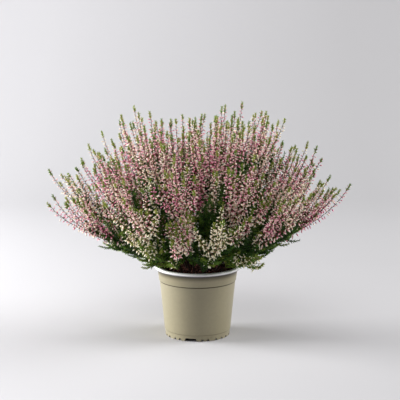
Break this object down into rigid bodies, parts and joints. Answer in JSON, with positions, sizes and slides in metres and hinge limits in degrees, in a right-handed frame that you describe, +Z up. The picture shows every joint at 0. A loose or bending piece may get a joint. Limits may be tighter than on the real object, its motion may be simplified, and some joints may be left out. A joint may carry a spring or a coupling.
{
  "type": "potted heather",
  "caption": "Flowering bud heather that fans out of a round tapered plastic nursery pot filled with soil, standing free as a small decorative houseplant or patio plant.",
  "frame": {"origin": "centre of the pot's foot, on the surface that it stands on", "axes": "+Z up along the pot's axis, -Y towards the viewer's side of the plant"},
  "size_m": [0.4194, 0.3628, 0.3211],
  "materials": {
    "pot": "matte",
    "soil": "rough",
    "foliage": "matte",
    "pink_buds": "matte",
    "pale_buds": "matte"
  },
  "bodies": {
    "root": {"pot": "pot", "soil": "soil", "leafy_stem_01": "foliage", "flower_spray_01": "pink_buds", "leafy_stem_02": "foliage", "flower_spray_02": "pink_buds", "leafy_stem_03": "foliage", "flower_spray_03": "pink_buds", "leafy_stem_04": "foliage", "flower_spray_04": "pink_buds", "leafy_stem_05": "foliage", "flower_spray_05": "pink_buds", "leafy_stem_06": "foliage", "flower_spray_06": "pink_buds", "leafy_stem_07": "foliage", "flower_spray_07": "pink_buds", "leafy_stem_08": "foliage", "flower_spray_08": "pink_buds", "leafy_stem_09": "foliage", "flower_spray_09": "pink_buds", "leafy_stem_10": "foliage", "flower_spray_10": "pink_buds", "leafy_stem_11": "foliage", "flower_spray_11": "pink_buds", "leafy_stem_12": "foliage", "flower_spray_12": "pink_buds", "leafy_stem_13": "foliage", "flower_spray_13": "pink_buds", "leafy_stem_14": "foliage", "flower_spray_14": "pink_buds", "leafy_stem_15": "foliage", "flower_spray_15": "pink_buds", "leafy_stem_16": "foliage", "flower_spray_16": "pink_buds", "leafy_stem_17": "foliage", "flower_spray_17": "pink_buds", "leafy_stem_18": "foliage", "flower_spray_18": "pink_buds", "leafy_stem_19": "foliage", "flower_spray_19": "pale_buds", "leafy_stem_20": "foliage", "flower_spray_20": "pale_buds", "leafy_stem_21": "foliage", "flower_spray_21": "pale_buds", "leafy_stem_22": "foliage", "flower_spray_22": "pale_buds", "leafy_stem_23": "foliage", "flower_spray_23": "pale_buds", "leafy_stem_24": "foliage", "flower_spray_24": "pale_buds", "leafy_stem_25": "foliage", "flower_spray_25": "pale_buds", "leafy_stem_26": "foliage", "flower_spray_26": "pale_buds", "leafy_stem_27": "foliage", "flower_spray_27": "pale_buds", "leafy_stem_28": "foliage", "flower_spray_28": "pale_buds"}
  },
  "joints": []
}
